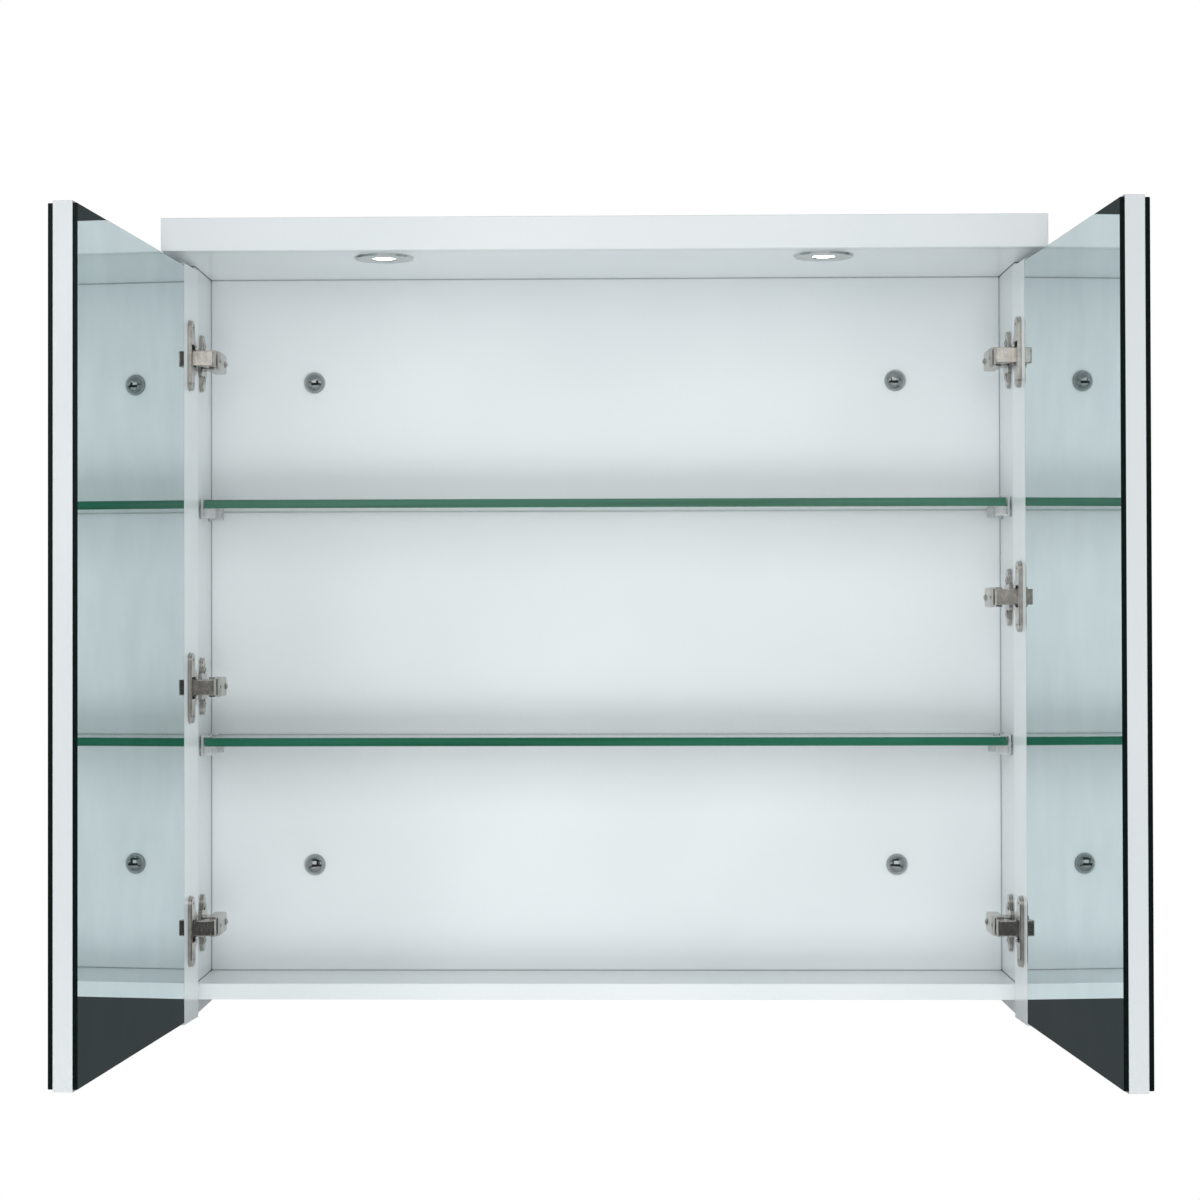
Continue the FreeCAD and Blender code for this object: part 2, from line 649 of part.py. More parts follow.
def cup_screws(height):
    sizes = (CUP_SCREW_HEAD_RADIUS, CUP_SCREW_HEAD_HEIGHT, CUP_SCREW_RADIUS, CUP_SCREW_LENGTH)
    return [countersunk_screw((x, y + FLANGE_THICKNESS, z), (0, -1, 0), *sizes)
            for x, y, z in cup_screw_places(height)]


def cup_pin(height):
    start = (cup_pivot[0], cup_pivot[1], height - CUP_PIN_LENGTH / 2)
    return rod(start, (0, 0, 1), CUP_PIN_LENGTH, CUP_PIN_RADIUS)


def flange_plate(height):
    """Raised fixing plate: two round-ended wings and a wider middle with sloping shoulders."""
    far = door_edge_x + FLANGE_FAR_EDGE
    wing = far - FLANGE_WING_WIDTH
    middle = far - FLANGE_MIDDLE_WIDTH
    low, high = door_face_y, door_face_y + FLANGE_THICKNESS
    half = FLANGE_LENGTH / 2
    wings = block((wing, far), (low, high), (height - half, height + half))
    ends = [edge for edge in wings.Edges if edge.BoundBox.YLength > 1]
    wings = wings.makeFillet(FLANGE_WING_WIDTH / 2 - 0.2, ends)
    shoulder = FLANGE_MIDDLE_HALF + FLANGE_SHOULDER
    outline = [(far - 3.0, -shoulder), (wing, -shoulder), (middle, -FLANGE_MIDDLE_HALF),
               (middle, FLANGE_MIDDLE_HALF), (wing, shoulder), (far - 3.0, shoulder)]
    corners = [Vec(x, low, height + z) for x, z in outline]
    shoulders = Part.Face(Part.makePolygon(corners + [corners[0]])).extrude(Vec(0, FLANGE_THICKNESS, 0))
    plate = wings.fuse(shoulders).removeSplitter()
    top_edges = [edge for edge in plate.Edges if edge.BoundBox.YMin > high - 0.01]
    return plate.makeFillet(FLANGE_EDGE_RADIUS, top_edges)


def hinge_cup(height):
    """Cup with its raised fixing plate, slotted where the link and the arm's nose pass."""
    x, y, z = cup_centre(height)
    rim = rod((x, y + CUP_RIM_THICKNESS, z), (0, -1, 0), CUP_RIM_THICKNESS, CUP_RADIUS + CUP_RIM_WIDTH)
    cup = rod((x, y, z), (0, -1, 0), CUP_DEPTH, CUP_RADIUS)
    hollow = rod((x, y, z), (0, -1, 0), CUP_DEPTH - CUP_WALL, CUP_RADIUS - CUP_WALL)
    for side in (-1, 1):
        ends = sorted((z + side * CUP_BOSS_START, z + side * CUP_RADIUS))
        boss = block((cup_pivot[0] - CUP_BOSS_WIDTH / 2, cup_pivot[0] + CUP_BOSS_WIDTH / 2),
                     (y - CUP_BOSS_DEPTH, y), ends)
        hollow = hollow.cut(boss)
    slot = block((door_edge_x, door_edge_x + FLANGE_FAR_EDGE - SLOT_FRONT_WALL), (y, y + 2 * FLANGE_THICKNESS),
                 (z - SLOT_HALF_WIDTH, z + SLOT_HALF_WIDTH))
    shell = cup.cut(hollow).fuse(rim).fuse(flange_plate(height)).removeSplitter()
    return cut_all(shell, [slot, cup_pin(height)] + cup_screws(height))


def door_core(side):
    """White board with a rebate for the inner mirror and bores for the cups."""
    board = rounded_block(door_span(0, door_width), door_depth(0, CORE_THICKNESS), (door_bottom_z, door_top_z),
                          CORE_EDGE_RADIUS)
    rebate = block(door_span(HINGE_STRIP_WIDTH, door_width + 1), door_depth(-1, MIRROR_THICKNESS),
                   (door_bottom_z - 1, door_top_z + 1))
    tools = [rebate]
    for height in hinge_heights[side]:
        x, y, z = cup_centre(height)
        tools.append(rod((x, y, z), (0, -1, 0), CUP_DEPTH, CUP_RADIUS))
        tools += cup_screws(height)
    return cut_all(board, tools)


def outer_mirror():
    return chamfered_block(door_span(MIRROR_INSET_EDGE, door_width - MIRROR_INSET_EDGE),
                           door_depth(CORE_THICKNESS, CORE_THICKNESS + MIRROR_THICKNESS),
                           (door_bottom_z + MIRROR_INSET_ENDS, door_top_z - MIRROR_INSET_ENDS), MIRROR_ARRIS)


def inner_mirror():
    return chamfered_block(door_span(HINGE_STRIP_WIDTH, door_width - MIRROR_INSET_EDGE),
                           door_depth(0, MIRROR_THICKNESS),
                           (door_bottom_z + MIRROR_INSET_ENDS, door_top_z - MIRROR_INSET_ENDS), MIRROR_ARRIS)


# ---- hinge pieces on the cabinet side, drawn on the left ----
def hinge_link(height):
    """Deep cranked steel channel between the arm and the cup, in its shut place."""
    reach_x = cup_pivot[0] - arm_pivot[0]
    reach_y = cup_pivot[1] - arm_pivot[1]
    length = math.hypot(reach_x, reach_y)
    half = LINK_WIDTH / 2
    outline = [(-2.0, 1.95), LINK_ELBOW, LINK_HEEL, (length + 1.4, 1.6), (length + LINK_CUP_EYE_RADIUS, 0.2),
               (length - LINK_CUP_EYE_RADIUS, 0.2), (length - 3.4, 2.2), (length - 8.1, 2.2),
               (length - 12.5, -1.2), (0.5, -2.7)]
    cheeks = prism(outline, -half, half)
    elbow = [edge for edge in cheeks.Edges if edge.BoundBox.ZLength > 1
             and math.hypot(edge.BoundBox.XMin - LINK_ELBOW[0], edge.BoundBox.YMin - LINK_ELBOW[1]) < 0.1]
    cheeks = cheeks.makeFillet(LINK_BEND_RADIUS, elbow)
    rims = [edge for edge in cheeks.Edges if edge.BoundBox.ZLength < 0.01 and edge.BoundBox.XMin > -2.2
            and edge.BoundBox.XMax < LINK_HEEL[0] + 0.1 and edge.BoundBox.YMax > LINK_HEEL[1] + 0.1]
    cheeks = cheeks.makeFillet(LINK_EDGE_RADIUS, rims)
    solid = union([
        cheeks,
        rod((0, 0, -half), (0, 0, 1), LINK_WIDTH, LINK_ARM_EYE_RADIUS),
        rod((length, 0, -half), (0, 0, 1), LINK_WIDTH, LINK_CUP_EYE_RADIUS),
    ])
    channel_outline = [(-6.0, -6.0), (-6.0, 3.2), (1.3, 3.2), (8.8, 11.5), (19.9, 3.3), (19.9, -6.0)]
    link = solid.cut(prism(channel_outline, -half + LINK_WALL, half - LINK_WALL))
    link = link.cut(rod((0, 0, -half), (0, 0, 1), LINK_WIDTH, ARM_PIN_RADIUS + PIN_CLEARANCE))
    link = link.cut(rod((length, 0, -half), (0, 0, 1), LINK_WIDTH, CUP_PIN_RADIUS + PIN_CLEARANCE))
    link.rotate(Vec(0, 0, 0), Vec(0, 0, 1), math.degrees(math.atan2(reach_y, reach_x)))
    link.translate(Vec(arm_pivot[0], arm_pivot[1], height))
    return link


def arm_pin(height):
    length = LINK_WIDTH + 2 * (ARM_CLEARANCE + ARM_WALL)
    return rod((arm_pivot[0], arm_pivot[1], height - length / 2), (0, 0, 1), length, ARM_PIN_RADIUS)


def arm_screws(height):
    """Side adjuster flush in the front of an arm and round-headed locking screw at its back."""
    face = -inner_half + ARM_OUT
    adjuster_place = (face, carcass_front + ADJUSTER_BACK, height)
    lock_place = (face, carcass_front + LOCK_SCREW_BACK, height)
    adjuster = countersunk_screw(adjuster_place, (-1, 0, 0), 3.0, 1.4, 1.9, 8.0)
    lock = screw(lock_place, (-1, 0, 0), 3.3, 2.0, 2.2, 12.0)
    return [adjuster, lock]


def hinge_arm(height):
    """Channel-shaped arm, open towards the side panel, with a rounded nose and rounded far corners."""
    half = LINK_WIDTH / 2 + ARM_CLEARANCE + ARM_WALL
    face = -inner_half + ARM_OUT
    inner = -inner_half + ARM_INNER_OUT
    nose = carcass_front - ARM_NOSE_LEAD
    back = carcass_front + ARM_LENGTH
    slope_end = nose + ARM_SLOPE_LENGTH
    outline = [(inner + 1.0, nose), (face - ARM_NOSE_DROP, nose), (face, slope_end), (face, back), (inner, back),
               (inner, nose + 6.0)]
    body = prism(outline, height - half, height + half)
    tip = [edge for edge in body.Edges if edge.BoundBox.ZLength > 1 and edge.BoundBox.YMax < nose + 0.1
           and edge.BoundBox.XMin > face - ARM_NOSE_DROP - 0.1]
    body = body.makeFillet(1.4, tip)
    far_corners = [edge for edge in body.Edges if edge.BoundBox.XLength > 5 and edge.BoundBox.YMin > back - 0.1]
    body = body.makeFillet(ARM_END_RADIUS, far_corners)
    long_edges = [edge for edge in body.Edges if edge.BoundBox.YLength > 20 and edge.BoundBox.XMin > face - 0.1]
    body = body.makeFillet(1.2, long_edges)
    nose_web = face - ARM_NOSE_DROP - ARM_WEB
    hollow = [(inner - 20.0, nose - 2.0), (nose_web, nose - 2.0), (nose_web, nose), (face - ARM_WEB, slope_end),
              (face - ARM_WEB, back + 1.0), (inner - 20.0, back + 1.0)]
    channel = prism(hollow, height - half + ARM_WALL, height + half - ARM_WALL)
    fork = block((inner - 1.0, face + 1.0), (nose - 1.0, nose + ARM_FORK_DEPTH),
                 (height - half + ARM_WALL, height + half - ARM_WALL))
    return cut_all(body.cut(channel), [fork, arm_pin(height)] + arm_screws(height))


def plate_screws(height):
    x = -inner_half + PLATE_THICKNESS
    y = carcass_front + PLATE_SCREW_BACK
    heights = (height - PLATE_SCREW_SPACING / 2, height + PLATE_SCREW_SPACING / 2)
    return [screw((x, y, z), (-1, 0, 0), 4.2, 1.6, 2.5, 13.0) for z in heights]


def hinge_plate(height):
    """Cross-shaped mounting plate with the rib that the arm is locked to."""
    y = carcass_front + PLATE_SCREW_BACK
    top = -inner_half + PLATE_THICKNESS
    wings = block((-inner_half, top), (y - PLATE_WING_WIDTH / 2, y + PLATE_WING_WIDTH / 2),
                  (height - PLATE_WING_HEIGHT / 2, height + PLATE_WING_HEIGHT / 2))
    corners = [edge for edge in wings.Edges if edge.BoundBox.XLength > 1]
    wings = wings.makeFillet(PLATE_WING_WIDTH / 2 - 0.2, corners)
    base = block((-inner_half, top), (y - 15.0, y + 17.0),
                 (height - PLATE_BASE_HEIGHT / 2, height + PLATE_BASE_HEIGHT / 2))
    base = base.makeFillet(4.0, [edge for edge in base.Edges if edge.BoundBox.XLength > 1])
    rib = block((-inner_half, -inner_half + ARM_OUT - ARM_WEB), (y - 10.0, y + 15.0),
                (height - PLATE_RIB_WIDTH / 2, height + PLATE_RIB_WIDTH / 2))
    plate = union([wings, base])
    plate = plate.makeFillet(0.8, [edge for edge in plate.Edges if edge.BoundBox.XMin > top - 0.01])
    return cut_all(union([plate, rib]), plate_screws(height) + arm_screws(height))


def side_panel(side):
    """Side panel, drawn on the left, with the holes that its own hinges and other hardware need."""
    panel = rounded_block((-half_width, -inner_half), (carcass_front, 0), (side_bottom_z, ceiling_z), PANEL_EDGE_RADIUS)
    tools = side_dowels() + canopy_dowels() + left_cam_bolts()
    tools += [item for item in canopy_screws() if item.BoundBox.XMax < 0]
    tools += support_pins()
    for height in hinge_heights[side]:
        tools += plate_screws(height)
    return cut_all(panel, tools)


# ---- the assembly ----
nodes = {}
for side in ("left", "right"):
    nodes[side + "_side_panel"] = placed(side, side_panel(side))
nodes["bottom_panel"] = bottom_panel()
nodes["back_panel"] = back_panel()
nodes["canopy_base_board"] = canopy_base_board()
nodes["canopy_fascia"] = canopy_fascia()
nodes["canopy_end_strips"] = canopy_end_strips()
nodes["canopy_rear_strip"] = canopy_rear_strip()
nodes["canopy_top_cover"] = canopy_top_cover()
nodes["cable_grommet"] = cable_grommet()
nodes["carcass_dowels"] = all_dowels()
nodes["cam_locks"] = cam_locks()
nodes["cam_bolts"] = both_sides(left_cam_bolts())
nodes["canopy_screws"] = canopy_screws()
nodes["fixing_cap_bases"] = cap_bases()
nodes["fixing_dome_caps"] = dome_caps()

for side in ("left", "right"):
    nodes[side + "_spot_bezel"] = placed(side, spot_bezel())
    nodes[side + "_spot_lens"] = placed(side, spot_lens())
    nodes[side + "_spot_heat_sink"] = placed(side, spot_heat_sink())
nodes["spot_led_boards"] = both_sides([led_board()])
nodes["spot_bezel_screws"] = both_sides(bezel_screws(*spot_places()[0]))
nodes["led_driver"] = led_driver()
nodes["spot_leads"] = both_sides([spot_lead()])

for name, shelf_height in shelf_heights.items():
    nodes[name + "_glass_shelf"] = glass_shelf(shelf_height)
nodes["shelf_support_pins"] = both_sides(support_pins())
nodes["shelf_support_pads"] = both_sides(support_pads())

for side in ("left", "right"):
    heights = hinge_heights[side]
    angle = rest_angles[side]
    nodes[side + "_hinge_plates"] = [placed(side, hinge_plate(height)) for height in heights]
    for name, height in zip(hinge_names, heights):
        nodes[side + "_" + name + "_hinge_arm"] = placed(side, hinge_arm(height))
        nodes[side + "_" + name + "_hinge_link"] = placed(side, link_swung(hinge_link(height), angle))
    nodes[side + "_door_core"] = placed(side, swung(door_core(side), angle))
    nodes[side + "_outer_mirror"] = placed(side, swung(outer_mirror(), angle))
    nodes[side + "_inner_mirror"] = placed(side, swung(inner_mirror(), angle))
    nodes[side + "_hinge_cups"] = [placed(side, swung(hinge_cup(height), angle)) for height in heights]
    nodes[side + "_cup_pins"] = [placed(side, swung(cup_pin(height), angle)) for height in heights]
    nodes[side + "_cup_screws"] = [placed(side, swung(item, angle)) for height in heights
                                   for item in cup_screws(height)]

every_hinge = [(side, height) for side in ("left", "right") for height in hinge_heights[side]]
nodes["hinge_plate_screws"] = [placed(side, item) for side, height in every_hinge for item in plate_screws(height)]
nodes["hinge_arm_screws"] = [placed(side, item) for side, height in every_hinge for item in arm_screws(height)]
nodes["hinge_arm_pins"] = [placed(side, arm_pin(height)) for side, height in every_hinge]

os.makedirs("parts", exist_ok=True)
for name, content in nodes.items():
    if isinstance(content, list):
        content = Part.makeCompound(content)
    content.exportStep("parts/" + name + ".step")
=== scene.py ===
import bpy
import math
from mathutils import Matrix, Vector


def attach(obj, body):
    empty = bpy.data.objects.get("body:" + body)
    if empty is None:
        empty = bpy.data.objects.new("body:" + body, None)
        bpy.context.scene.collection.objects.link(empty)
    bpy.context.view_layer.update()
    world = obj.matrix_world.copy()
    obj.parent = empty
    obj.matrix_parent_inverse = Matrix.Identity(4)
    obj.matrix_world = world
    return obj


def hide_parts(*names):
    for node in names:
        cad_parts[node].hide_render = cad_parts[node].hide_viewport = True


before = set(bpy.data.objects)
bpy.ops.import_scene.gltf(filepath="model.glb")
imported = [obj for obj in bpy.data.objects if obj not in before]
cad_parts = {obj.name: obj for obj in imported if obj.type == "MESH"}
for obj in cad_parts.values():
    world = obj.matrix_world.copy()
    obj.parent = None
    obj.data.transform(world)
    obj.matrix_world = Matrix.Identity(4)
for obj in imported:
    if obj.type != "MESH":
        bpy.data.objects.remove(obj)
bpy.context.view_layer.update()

bl_info = {
    "name": "Mirror cabinet finish",
    "version": (1, 0, 0),
    "blender": (4, 5, 0),
    "location": "View3D > Sidebar > Mirror Cabinet",
    "description": "Finishes, fittings, light and camera for a lit mirror cabinet with open doors",
    "category": "Object",
}

MM = 0.001
SIDES = ("left", "right")
DOOR_ANGLES = {"left": 94.4, "right": 93.2}   # how far each door stands open, in degrees
SMOOTH_ANGLE = 35.0        # in degrees; edges sharper than this stay crisp on a smooth piece
FLAT_FACE = 0.9            # how squarely a face must look along an axis to count as facing it
SHORT_SCREW_MM = 9.0       # of the two screws in a hinge arm, the adjuster is shorter than this
LOCK_HEAD_MM = 2.0         # how far the head of an arm's locking screw stands up
PLATE_HEAD_MM = 1.6        # how far the head of a mounting plate's screw stands up
SENSOR_MM = 36.0           # width of the camera's sensor
FLOOR_HEIGHT = -1.4        # in metres, well under the hanging cabinet


# ---- colours and nodes ----
def linear(code):
    """Linear RGBA from an sRGB hex code."""
    channels = [int(code[at:at + 2], 16) / 255 for at in (1, 3, 5)]
    return [c / 12.92 if c <= 0.04045 else ((c + 0.055) / 1.055) ** 2.4 for c in channels] + [1.0]


def add_node(tree, kind, settings=None, inputs=None):
    """Adds a node. Settings are its own fields; inputs are socket values, or (node, output) to link."""
    made = tree.nodes.new(kind)
    for name, value in (settings or {}).items():
        setattr(made, name, value)
    for name, value in (inputs or {}).items():
        if isinstance(value, tuple) and isinstance(value[0], bpy.types.Node):
            tree.links.new(value[0].outputs[value[1]], made.inputs[name])
        else:
            made.inputs[name].default_value = value
    return made


def new_material(name):
    """Empty material with its node tree and its object coordinates."""
    material = bpy.data.materials.new(name)
    material.use_nodes = True
    tree = material.node_tree
    tree.nodes.clear()
    return material, tree, add_node(tree, "ShaderNodeTexCoord")


def close_material(material, tree, shader):
    """Links the shader to the material's surface."""
    add_node(tree, "ShaderNodeOutputMaterial", inputs={"Surface": (shader, "BSDF")})
    return material


def noise(tree, coords, size_mm, detail=2.0, stretch=(1.0, 1.0, 1.0)):
    """Noise whose blobs are about size_mm across, drawn out along the axes where stretch is large."""
    scale = [1.0 / s for s in stretch]
    mapping = add_node(tree, "ShaderNodeMapping", inputs={"Vector": (coords, "Object"), "Scale": scale})
    return add_node(tree, "ShaderNodeTexNoise",
                    inputs={"Vector": (mapping, "Vector"), "Scale": 1.0 / (size_mm * MM), "Detail": detail})


def blend_colours(tree, factor, low, high, start=0.3, stop=0.7):
    """Colour ramp between two hex colours over a noise factor."""
    ramp = add_node(tree, "ShaderNodeValToRGB", inputs={"Fac": factor})
    ramp.color_ramp.elements[0].position = start
    ramp.color_ramp.elements[0].color = linear(low)
    ramp.color_ramp.elements[1].position = stop
    ramp.color_ramp.elements[1].color = linear(high)
    return ramp


def spread(tree, factor, low, high):
    """Number that runs from low to high over a noise factor."""
    return add_node(tree, "ShaderNodeMapRange", inputs={"Value": factor, "To Min": low, "To Max": high})


def bumps(tree, height, depth_mm, strength=1.0):
    """Relief of a given depth."""
    return add_node(tree, "ShaderNodeBump", inputs={
        "Height": height, "Distance": depth_mm * MM, "Strength": strength})


def axis_mask(tree, coords, axis):
    """1 on faces that look squarely along an axis of the piece, 0 on its other faces."""
    parts = add_node(tree, "ShaderNodeSeparateXYZ", inputs={"Vector": (coords, "Normal")})
    size = add_node(tree, "ShaderNodeMath", {"operation": "ABSOLUTE"}, {0: (parts, axis)})
    return add_node(tree, "ShaderNodeMath", {"operation": "GREATER_THAN"},
                    {0: (size, "Value"), 1: FLAT_FACE})


# ---- materials ----
def white_lacquer(look):
    """Polyurethane gloss lacquer sprayed on board: clean white with soft reflections, a faint orange peel,
    and painted shade: a thin grey line that darkens it in every crease where boards or other parts meet."""
    material, tree, coords = new_material("sprayed_gloss_lacquer")
    cloud = noise(tree, coords, size_mm=180.0, detail=1.0)
    peel = noise(tree, coords, size_mm=2.2, detail=1.0)
    colour = blend_colours(tree, (cloud, "Fac"), look.lacquer_low, look.lacquer_high)
    rough = spread(tree, (cloud, "Fac"), low=0.16, high=0.22)
    relief = bumps(tree, (peel, "Fac"), depth_mm=0.006)
    # painted shade: ambient occlusion turns the lacquer grey within a short reach of any crease where boards
    # or other parts meet
    crease_occlusion = add_node(tree, "ShaderNodeAmbientOcclusion", {"samples": 6},
                   {"Distance": look.crease_shade_reach_mm * MM})
    unshaded_share = add_node(tree, "ShaderNodeMapRange", inputs={
        "Value": (crease_occlusion, "AO"), "From Min": 0.5, "From Max": 0.8, "To Min": 0.0, "To Max": 1.0})
    crease_shaded_colour = add_node(tree, "ShaderNodeMix", {"data_type": "RGBA"},
                     {0: (unshaded_share, "Result"), 6: linear(look.crease_shade_colour), 7: (colour, "Color")})
    shader = add_node(tree, "ShaderNodeBsdfPrincipled", inputs={
        "Roughness": (rough, "Result"), "IOR": 1.5, "Specular IOR Level": 0.5, "Normal": (relief, "Normal")})
    tree.links.new(crease_shaded_colour.outputs[2], shader.inputs["Base Color"])
    return close_material(material, tree, shader)


def silvered_glass(look):
    """Float glass silvered on its back: a cool mirror face with dark green ground edges."""
    material, tree, coords = new_material("silvered_float_glass")
    face = axis_mask(tree, coords, "X")
    haze = noise(tree, coords, size_mm=60.0, detail=3.0)
    mirror = blend_colours(tree, (haze, "Fac"), look.mirror_low, look.mirror_high)
    ground = noise(tree, coords, size_mm=3.0)
    edge = blend_colours(tree, (ground, "Fac"), look.mirror_edge_low, look.mirror_edge_high)
    colour = add_node(tree, "ShaderNodeMix", {"data_type": "RGBA"},
                      {0: (face, "Value"), 6: (edge, "Color"), 7: (mirror, "Color")})
    smear = spread(tree, (haze, "Fac"), low=0.0, high=0.012)
    rough = add_node(tree, "ShaderNodeMix", {"data_type": "FLOAT"},
                     {0: (face, "Value"), 2: 0.3, 3: (smear, "Result")})
    shader = add_node(tree, "ShaderNodeBsdfPrincipled", inputs={
        "Metallic": (face, "Value"), "Specular IOR Level": 0.12})
    tree.links.new(colour.outputs[2], shader.inputs["Base Color"])
    tree.links.new(rough.outputs[0], shader.inputs["Roughness"])
    return close_material(material, tree, shader)


def shelf_glass(look):
    """Clear float glass: nearly colourless through its faces and bottle green through its polished edges."""
    material, tree, coords = new_material("clear_float_glass")
    face = axis_mask(tree, coords, "Z")
    streak = noise(tree, coords, size_mm=4.0, stretch=(60.0, 1.0, 1.0))
    edge = blend_colours(tree, (streak, "Fac"), look.glass_edge_low, look.glass_edge_high)
    colour = add_node(tree, "ShaderNodeMix", {"data_type": "RGBA"},
                      {0: (face, "Value"), 6: (edge, "Color"), 7: linear(look.glass_face)})
    clear = spread(tree, (face, "Value"), low=0.35, high=1.0)
    rough = spread(tree, (face, "Value"), low=0.12, high=0.0)
    shader = add_node(tree, "ShaderNodeBsdfPrincipled", inputs={
        "Transmission Weight": (clear, "Result"), "Roughness": (rough, "Result"), "IOR": 1.52})
    tree.links.new(colour.outputs[2], shader.inputs["Base Color"])
    return close_material(material, tree, shader)


def brushed_metal(name, low, high, roughness, grain_mm, relief_mm, stretch=(1.0, 1.0, 1.0)):
    """Bare or plated metal with a fine grain left by tumbling, casting or brushing, drawn out where it was
    brushed."""
    material, tree, coords = new_material(name)
    grain = noise(tree, coords, grain_mm, detail=3.0, stretch=stretch)
    cloud = noise(tree, coords, size_mm=7.0)
    colour = blend_colours(tree, (cloud, "Fac"), low, high)
    rough = spread(tree, (grain, "Fac"), roughness * 0.7, roughness * 1.3)
    relief = bumps(tree, (grain, "Fac"), relief_mm, strength=0.6)
    shader = add_node(tree, "ShaderNodeBsdfPrincipled", inputs={
        "Base Color": (colour, "Color"), "Metallic": 1.0, "Roughness": (rough, "Result"),
        "Normal": (relief, "Normal")})
    return close_material(material, tree, shader)


def moulded_plastic(name, low, high, roughness, grain_mm, relief_mm, transmission=0.0):
    """Injection-moulded plastic with a fine grain from its tool."""
    material, tree, coords = new_material(name)
    grain = noise(tree, coords, grain_mm)
    cloud = noise(tree, coords, grain_mm * 8.0, detail=1.0)
    colour = blend_colours(tree, (cloud, "Fac"), low, high)
    rough = spread(tree, (grain, "Fac"), roughness * 0.8, roughness * 1.2)
    relief = bumps(tree, (grain, "Fac"), relief_mm)
    shader = add_node(tree, "ShaderNodeBsdfPrincipled", inputs={
        "Base Color": (colour, "Color"), "Roughness": (rough, "Result"), "IOR": 1.49,
        "Transmission Weight": transmission, "Normal": (relief, "Normal")})
    return close_material(material, tree, shader)


def lamp_lens(look):
    """Frosted acrylic lens over the lamp board: an even, bright warm-white glow."""
    material, tree, coords = new_material("frosted_acrylic_lens")
    frost = noise(tree, coords, size_mm=0.6, detail=1.0)
    colour = blend_colours(tree, (frost, "Fac"), "#F2F2EC", "#FFFFFF")
    rough = spread(tree, (frost, "Fac"), low=0.25, high=0.4)
    shader = add_node(tree, "ShaderNodeBsdfPrincipled", inputs={
        "Base Color": (colour, "Color"), "Roughness": (rough, "Result"), "IOR": 1.49,
        "Emission Color": linear("#FFFDF6"), "Emission Strength": look.lamp_glow})
    return close_material(material, tree, shader)


def turned_beech():
    """Turned beech: warm, matt and slightly ribbed by the pores that run along the dowel."""
    material, tree, coords = new_material("turned_beech")
    grain = noise(tree, coords, size_mm=1.2, detail=4.0, stretch=(8.0, 1.0, 1.0))
    colour = blend_colours(tree, (grain, "Fac"), "#B58A5A", "#D9B486")
    relief = bumps(tree, (grain, "Fac"), depth_mm=0.05)
    shader = add_node(tree, "ShaderNodeBsdfPrincipled", inputs={
        "Base Color": (colour, "Color"), "Roughness": 0.6, "Normal": (relief, "Normal")})
    return close_material(material, tree, shader)


def paint(names, material):
    """Gives CAD nodes a finished material."""
    for name in names:
        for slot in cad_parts[name].material_slots:
            slot.material = material


# ---- shaping ----
def ringed(name, rings, sides=48):
    """Round piece drawn up along +Z through rings given as (radius, height) in mm."""
    bpy.ops.object.select_all(action="DESELECT")
    radius, height = rings[0]
    bpy.ops.mesh.primitive_circle_add(vertices=sides, radius=radius * MM, fill_type="NGON",
                                      location=(0, 0, height * MM))
    piece = bpy.context.object
    piece.name = name
    bpy.ops.object.transform_apply(location=True, rotation=True, scale=True)
    bpy.ops.object.mode_set(mode="EDIT")
    bpy.ops.mesh.select_all(action="SELECT")
    for new_radius, new_height in rings[1:]:
        rise = (new_height - height) * MM
        bpy.ops.mesh.extrude_region_move(TRANSFORM_OT_translate={"value": (0, 0, rise)})
        share = new_radius / radius
        bpy.ops.transform.resize(value=(share, share, 1), center_override=(0, 0, new_height * MM))
        radius, height = new_radius, new_height
    bpy.ops.mesh.select_all(action="SELECT")
    bpy.ops.mesh.normals_make_consistent(inside=False)
    bpy.ops.object.mode_set(mode="OBJECT")
    return piece


def cross_cutter(reach, width, top, depth):
    """Tapered cross that cuts a driver's recess, in mm."""
    bars = []
    for size in ((reach, width), (width, reach)):
        bpy.ops.object.select_all(action="DESELECT")
        bpy.ops.mesh.primitive_cube_add(size=1.0)
        bar = bpy.context.object
        bar.scale = (size[0] * MM, size[1] * MM, 2 * depth * MM)
        bar.location = (0, 0, top * MM)
        bpy.ops.object.transform_apply(location=True, rotation=True, scale=True)
        bars.append(bar)
    return bars


def cut_cross(piece, reach, width, top, depth):
    """Cuts a cross recess into the top of a screw head and applies it."""
    for cutter in cross_cutter(reach, width, top, depth):
        cut = piece.modifiers.new("recess", "BOOLEAN")
        cut.operation = "DIFFERENCE"
        cut.object = cutter
        bpy.ops.object.select_all(action="DESELECT")
        piece.select_set(True)
        bpy.context.view_layer.objects.active = piece
        bpy.ops.object.modifier_apply(modifier=cut.name)
        bpy.data.objects.remove(cutter)


def finish_shape(piece):
    """Smooth shading with crisp edges."""
    bpy.ops.object.select_all(action="DESELECT")
    piece.select_set(True)
    bpy.context.view_layer.objects.active = piece
    bpy.ops.object.shade_smooth_by_angle(angle=math.radians(SMOOTH_ANGLE))


def dome_rings(base, radius, height, steps=18):
    """Rings of a spherical cap that stands on a straight base."""
    ball = (radius ** 2 + (height - base) ** 2) / (2 * (height - base))
    widest = math.asin(min(1.0, radius / ball))
    angles = [widest * (1 - step / steps) for step in range(steps)] + [0.02]
    return [(ball * math.sin(angle), height - ball + ball * math.cos(angle)) for angle in angles]


def pan_screw(name, head, rise, shank, length):
    """Screw with a domed head that has a cross recess. The head's seat is at the origin and its top looks
    along +Z. Sizes are in mm; head and shank are radii."""
    rings = [(shank * 0.5, -length), (shank, -length + shank), (shank, 0.0),
             (head - 0.15, 0.0), (head, 0.15)]
    piece = ringed(name, rings + dome_rings(0.3, head, rise, steps=7), sides=32)
    cut_cross(piece, head * 1.15, head * 0.26, rise, rise * 0.55)
    finish_shape(piece)
    return piece


